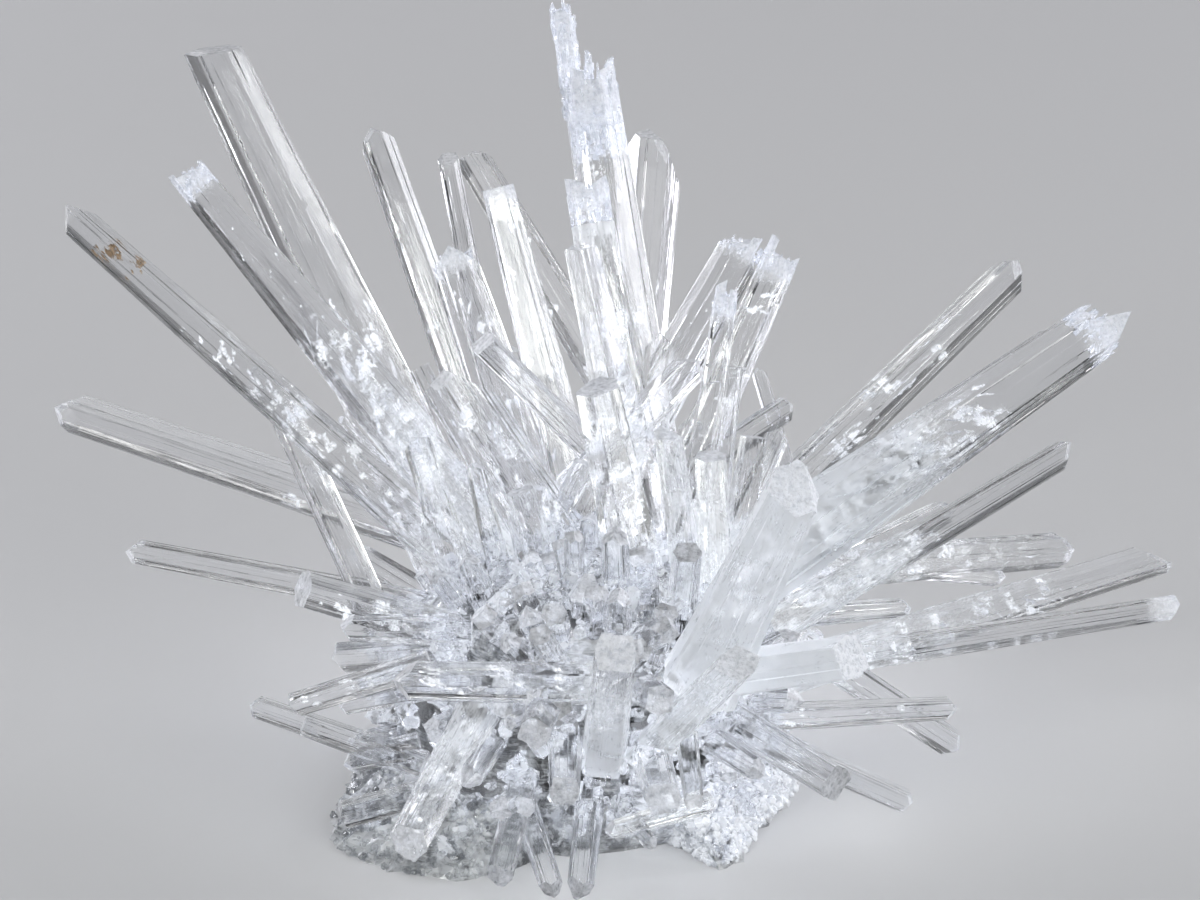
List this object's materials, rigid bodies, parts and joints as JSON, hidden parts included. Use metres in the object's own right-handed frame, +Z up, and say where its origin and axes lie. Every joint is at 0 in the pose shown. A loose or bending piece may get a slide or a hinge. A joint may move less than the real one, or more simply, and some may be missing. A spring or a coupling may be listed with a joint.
{
  "type": "quartz cluster",
  "caption": "Cluster of clear quartz prisms that radiate from a milky heart, on a grainy foot cut off flat; some tips are broken off rough.",
  "frame": {"origin": "centre of the bounding box, on the plane that the cluster is cut off on and stands on", "axes": "+Z up; +X along the longest extent, towards the right-hand blades; -Y towards the side that the crystals lean over the foot"},
  "size_m": [0.1488, 0.1026, 0.0901],
  "materials": {
    "clear_quartz": "clear, glossy prism faces with milky veils towards the heart",
    "milky_quartz": "milky white, frosted: veils, broken ends and the heart",
    "crust": "pale grey-green glassy grains on the foot"
  },
  "bodies": {
    "root": {"quartz_cluster": "clear_quartz"}
  },
  "joints": []
}
